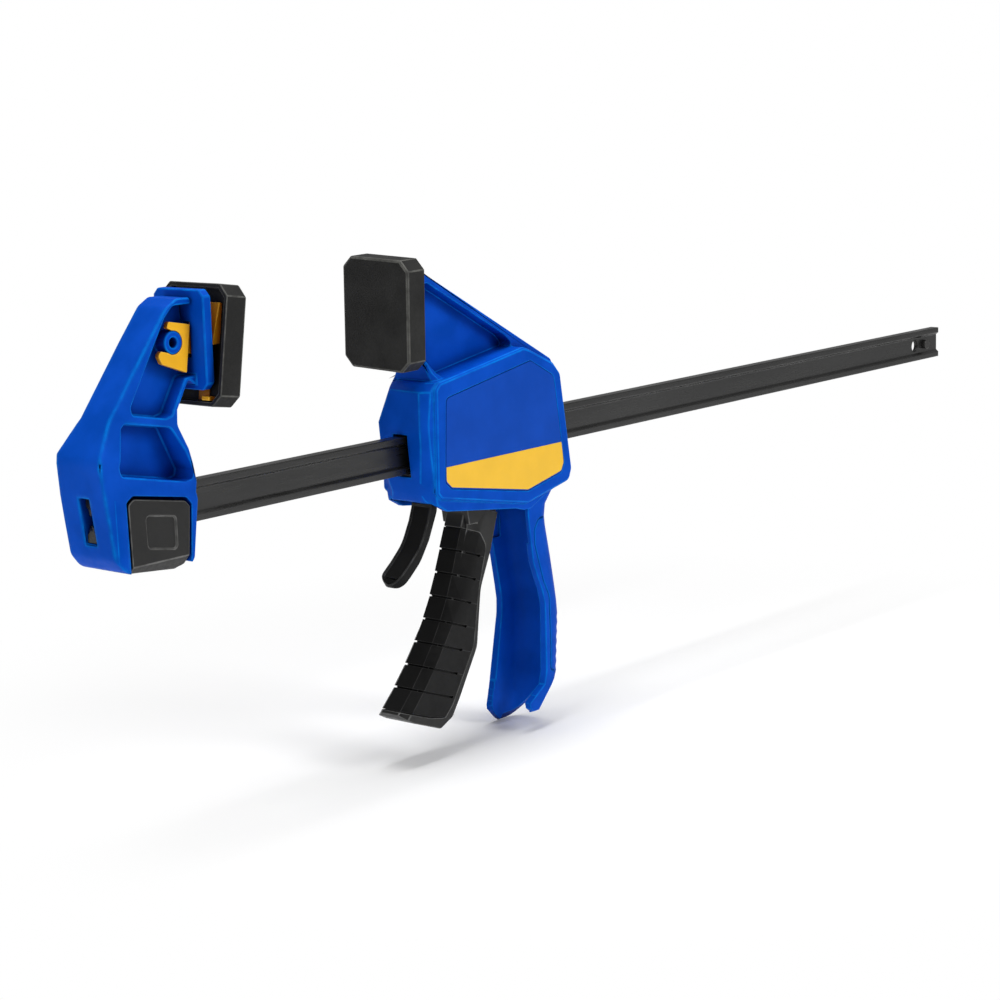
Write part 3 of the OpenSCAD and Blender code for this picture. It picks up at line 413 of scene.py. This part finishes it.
def jaw_rounding(x, y, z):
    x, z = x - jaw_face, z - bar_height
    for (x1, z1), (x2, z2) in zip(spine, spine[1:]):
        surface = x1 + (x2 - x1) * (z - z1) / (z2 - z1)   # the spine at this height
        if z2 <= z <= z1 and x < surface + spine_depth:
            return spine_softness
    return 0


def body_rounding(x, y, z):
    z -= bar_height
    on_nose = x < -155 and z < 36 and abs(y) < 17.7
    in_slot = abs(y) < 7 and abs(z) < 14
    return nose_softness if on_nose and not in_slot else 0


def on_button_frame(x, y, z):
    return y < -14.8 and z < 185


def in_housing(x, y, z):
    return -160 < x < -60 and abs(y) < 15.6 and 106 < z < 203


def on_fork(x, y, z):
    return z > 106


def at_toe(x, y, z):
    return z < 22


rounded("body_shell", "body_moulding", 0.5 * mm, body_blue,
        wider=body_rounding, finer=at_toe, inside=in_housing)
rounded("fixed_jaw", "jaw_moulding", 0.8 * mm, body_blue,
        wider=jaw_rounding, finer=on_button_frame)
rounded("label_near", "near_label", 0.15 * mm, label_blue)
rounded("label_far", "far_label", 0.15 * mm, label_blue)
rounded("band_near", "near_band", 0.1 * mm, band_yellow)
rounded("band_far", "far_band", 0.1 * mm, band_yellow)
rounded("fixed_pad", "jaw_pad", 0.5 * mm, pad_rubber)
rounded("moving_pad", "body_pad", 0.5 * mm, pad_rubber)
rounded("fixed_carrier", "jaw_pad_holder", 0.3 * mm, carrier_yellow)
rounded("moving_carrier", "body_pad_holder", 0.3 * mm, carrier_yellow)
rounded("trigger_frame", "trigger_moulding", 0.5 * mm, hard_black,
        inside=on_fork)
rounded("trigger_grip", "trigger_skin", 0.15 * mm, soft_black, angle=40)
rounded("release_lever", "lever", 0.6 * mm, soft_black)
rounded("jaw_button", "push_button", 0.5 * mm, hard_black)

# %% [markdown]
# The bar is rolled steel: one I section drawn out straight, then punched. Geometry
# Nodes say just that. A loop of edges holds the section and becomes a curve, Fillet
# Curve rounds its corners, Curve to Mesh draws it along a line as long as the bar,
# and Mesh Boolean punches the hanging hole, the hole of the stop pin, and the bolt's
# hole and slot.

# %% Helpers for node trees
def new_tree(name, inputs):
    """A node tree with geometry in and out and these (label, kind) inputs."""
    tree = bpy.data.node_groups.new(name, "GeometryNodeTree")
    for label, kind in [("Geometry", "NodeSocketGeometry")] + inputs:
        tree.interface.new_socket(label, in_out="INPUT", socket_type=kind)
    tree.interface.new_socket("Geometry", in_out="OUTPUT",
                              socket_type="NodeSocketGeometry")
    return tree, tree.nodes.new("NodeGroupInput"), tree.nodes.new("NodeGroupOutput")


def add(tree, kind, links=(), **values):
    """A node; links are (socket, output or value) pairs, values are its settings."""
    node = tree.nodes.new(kind)
    for key, value in values.items():
        setattr(node, key, value)
    for socket, value in links:
        target = node.inputs[socket]
        if isinstance(value, bpy.types.NodeSocket):
            tree.links.new(value, target)
        else:
            target.default_value = value
    return node


def finished(tree, geometry, group_in, group_out):
    """The last two nodes of a tree: real geometry, then its material."""
    real = add(tree, "GeometryNodeRealizeInstances", [("Geometry", geometry)])
    dressed = add(tree, "GeometryNodeSetMaterial",
                  [("Geometry", real.outputs[0]),
                   ("Material", group_in.outputs["Finish"])])
    tree.links.new(dressed.outputs[0], group_out.inputs[0])


def grown(piece, start, tree, values):
    """Run the tree on the start data and keep the result as a plain mesh."""
    source = bpy.data.objects.new(piece, start)
    scene.collection.objects.link(source)
    nodes = source.modifiers.new(piece, "NODES")
    nodes.node_group = tree
    for item in tree.interface.items_tree:
        if item.in_out == "INPUT" and item.name in values:
            nodes[item.identifier] = values[item.name]
    graph = bpy.context.evaluated_depsgraph_get()
    mesh = bpy.data.meshes.new_from_object(source.evaluated_get(graph))
    bpy.data.objects.remove(source)
    mesh.name = piece
    made = bpy.data.objects.new(piece, mesh)
    scene.collection.objects.link(made)
    print(piece, "faces:", len(mesh.polygons))
    return made


# %% Steel bar
low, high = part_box("bar")
half_wide, half_high = (high[1] - low[1]) / 2, (high[2] - low[2]) / 2
flange, web, slope = 3.4 * mm, 1.5 * mm, 1.4 * mm
inner = half_high - flange
right_half = [(half_wide, half_high), (half_wide, inner), (web, inner - slope),
              (web, -inner + slope), (half_wide, -inner), (half_wide, -half_high)]
outline = right_half[::-1] + [(-y, z) for y, z in right_half]
around = len(outline)
section = bpy.data.meshes.new("bar_section")
section.from_pydata([(y, z, 0) for y, z in outline],
                    [(i, (i + 1) % around) for i in range(around)], [])

number, place, paint = "NodeSocketFloat", "NodeSocketVector", "NodeSocketMaterial"
tree, group_in, group_out = new_tree("rolled_and_punched_bar", [
    ("From", place), ("To", place), ("Fillet", number), ("Hanging Hole", number),
    ("Hanging Hole At", place), ("Pin Hole", number), ("Pin Hole At", place),
    ("Bolt Hole", number), ("Bolt Hole At", place), ("Bolt Slot", place),
    ("Bolt Slot At", place), ("Finish", paint)])
section_curve = add(tree, "GeometryNodeMeshToCurve",
                    [("Mesh", group_in.outputs["Geometry"])])
soft_section = add(tree, "GeometryNodeFilletCurve",
                   [("Curve", section_curve.outputs[0]), ("Count", 3),
                    ("Radius", group_in.outputs["Fillet"])], mode="POLY")
path_line = add(tree, "GeometryNodeCurvePrimitiveLine",
                [("Start", group_in.outputs["From"]), ("End", group_in.outputs["To"])])
drawn = add(tree, "GeometryNodeCurveToMesh",
            [("Curve", path_line.outputs[0]),
             ("Profile Curve", soft_section.outputs[0]), ("Fill Caps", True)])
punches = add(tree, "GeometryNodeJoinGeometry")
punch_length = 30 * mm      # well through the bar
for hole in ("Hanging Hole", "Pin Hole", "Bolt Hole"):
    punch = add(tree, "GeometryNodeMeshCylinder",
                [("Vertices", 48), ("Radius", group_in.outputs[hole]),
                 ("Depth", punch_length)])
    across = add(tree, "GeometryNodeTransform",
                 [("Geometry", punch.outputs[0]), ("Rotation", (pi / 2, 0, 0)),
                  ("Translation", group_in.outputs[hole + " At"])])
    tree.links.new(across.outputs[0], punches.inputs[0])
slot_punch = add(tree, "GeometryNodeMeshCube",
                 [("Size", group_in.outputs["Bolt Slot"])])
slot_place = add(tree, "GeometryNodeTransform",
                 [("Geometry", slot_punch.outputs[0]),
                  ("Translation", group_in.outputs["Bolt Slot At"])])
tree.links.new(slot_place.outputs[0], punches.inputs[0])
punched = add(tree, "GeometryNodeMeshBoolean",
              [("Mesh 1", drawn.outputs[0]), ("Self Intersection", True)],
              operation="DIFFERENCE", solver="EXACT")
tree.links.new(punches.outputs[0], punched.inputs["Mesh 2"])
finished(tree, punched.outputs[0], group_in, group_out)

mid_z = (low[2] + high[2]) / 2
bolt_x = low[0] + 27 * mm
slot_length = 29 * mm       # from the bolt's hole out through the bar's end
bar = grown("steel_bar", section, tree, {
    "From": (low[0], 0, mid_z), "To": (high[0], 0, mid_z), "Fillet": 0.5 * mm,
    "Hanging Hole": 4 * mm, "Hanging Hole At": (high[0] - 28.8 * mm, 0, mid_z),
    "Pin Hole": 3 * mm, "Pin Hole At": (high[0] - 16.7 * mm, 0, mid_z),
    "Bolt Hole": 3.5 * mm, "Bolt Hole At": (bolt_x, 0, mid_z),
    "Bolt Slot": (slot_length, punch_length, 4.5 * mm),
    "Bolt Slot At": (bolt_x - slot_length / 2, 0, mid_z), "Finish": bar_black})
made_low = [min(v.co[i] for v in bar.data.vertices) for i in range(3)]
made_high = [max(v.co[i] for v in bar.data.vertices) for i in range(3)]
print("bar in mm:", [round((h - l) / mm, 2) for l, h in zip(made_low, made_high)],
      "should be", [round((h - l) / mm, 2) for l, h in zip(low, high)])
bar.data.shade_smooth()
even = bar.modifiers.new("even shading", "WEIGHTED_NORMAL")
even.keep_sharp = True
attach(bar, parts["bar"]["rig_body"])
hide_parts("bar")

# %% [markdown]
# Two rivets hold the brake plate in the lever's head. A rivet is a shank with two
# low domes. The tree makes one and sets an instance of it on each point of a mesh
# that has nothing but the two places, and the result is made real.

# %% Lever rivets
low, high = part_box("lever_rivets")
heart = [(l + h) / 2 for l, h in zip(low, high)]
off_middle = 3.2 * mm       # each rivet's distance from the clamp's middle plane
places = bpy.data.meshes.new("rivet_places")
places.from_pydata([(heart[0], side * off_middle, heart[2]) for side in (-1, 1)],
                   [], [])
tree, group_in, group_out = new_tree("rivets", [
    ("Shank", number), ("Length", number), ("Dome", place), ("Turn", place),
    ("Finish", paint)])
shank = add(tree, "GeometryNodeMeshCylinder",
            [("Vertices", 32), ("Radius", group_in.outputs["Shank"]),
             ("Depth", group_in.outputs["Length"])])
one = add(tree, "GeometryNodeJoinGeometry")
tree.links.new(shank.outputs[0], one.inputs[0])
half_length = add(tree, "ShaderNodeMath", [(0, group_in.outputs["Length"]), (1, 0.5)],
                  operation="MULTIPLY")
for end in (1, -1):
    ball = add(tree, "GeometryNodeMeshUVSphere",
               [("Segments", 32), ("Rings", 16), ("Radius", 1.0)])
    shift = add(tree, "ShaderNodeMath", [(0, half_length.outputs[0]), (1, float(end))],
                operation="MULTIPLY")
    at = add(tree, "ShaderNodeCombineXYZ", [("Z", shift.outputs[0])])
    dome = add(tree, "GeometryNodeTransform",
               [("Geometry", ball.outputs[0]), ("Translation", at.outputs[0]),
                ("Scale", group_in.outputs["Dome"])])
    tree.links.new(dome.outputs[0], one.inputs[0])
as_one = add(tree, "GeometryNodeMeshBoolean",
             [("Mesh 2", one.outputs[0]), ("Self Intersection", True)],
             operation="UNION", solver="EXACT")
set_out = add(tree, "GeometryNodeInstanceOnPoints",
              [("Points", group_in.outputs["Geometry"]),
               ("Instance", as_one.outputs[0])])
spin = add(tree, "FunctionNodeEulerToRotation", [(0, group_in.outputs["Turn"])])
tree.links.new(spin.outputs[0], set_out.inputs["Rotation"])
finished(tree, set_out.outputs[0], group_in, group_out)
rivets = grown("rivet_pair", places, tree, {
    "Shank": 1.4 * mm, "Length": 7.2 * mm, "Dome": (2.3 * mm, 2.3 * mm, 0.8 * mm),
    "Turn": (0, radians(98), 0), "Finish": steel})
rivets.data.shade_smooth()
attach(rivets, parts["lever_rivets"]["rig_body"])
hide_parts("lever_rivets")

# %% [markdown]
# Each of the three coil springs is a merged copy of its mesh that rides on the part
# its still end leans on. keep, the share of the length that is left when the spring
# is squashed, is only printed: the copy doesn't shorten.

# %% Springs that ride on their holders
def spring(name, holder, keep):
    """A merged copy of a spring that rides on the holder's body."""
    work = bmesh.new()
    work.from_mesh(parts[name].data)
    bmesh.ops.remove_doubles(work, verts=work.verts, dist=same_point)
    mesh = bpy.data.meshes.new(name + "_coil")
    work.to_mesh(mesh)
    work.free()
    mesh.materials.append(steel)
    mesh.shade_smooth()
    made = bpy.data.objects.new(name + "_coil", mesh)
    scene.collection.objects.link(made)
    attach(made, parts[holder]["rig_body"])
    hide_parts(name)
    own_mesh(made)
    print(made.name, "faces:", len(mesh.polygons), "length left:", keep)


spring("drive_spring", "body_shell",
       0.74)
spring("brake_spring", "body_shell",
       0.38)
spring("button_spring", "fixed_jaw",
       0.36)

# %% [markdown]
# The small steel and nylon parts keep their engineering shape and only get a finish.

# %% Finishes of the parts that stay
plain = {
    "front_guide": hard_black, "rear_guide": hard_black, "trigger_pin": steel,
    "pad_pin": steel, "stop_pin": dark_steel, "lock_bolt": steel,
    "drive_plate_front": steel, "drive_plate_rear": steel, "brake_plate": steel}
for name, material in plain.items():
    parts[name].data.materials.clear()
    parts[name].data.materials.append(material)
print("parts that keep their shape:", len(plain))
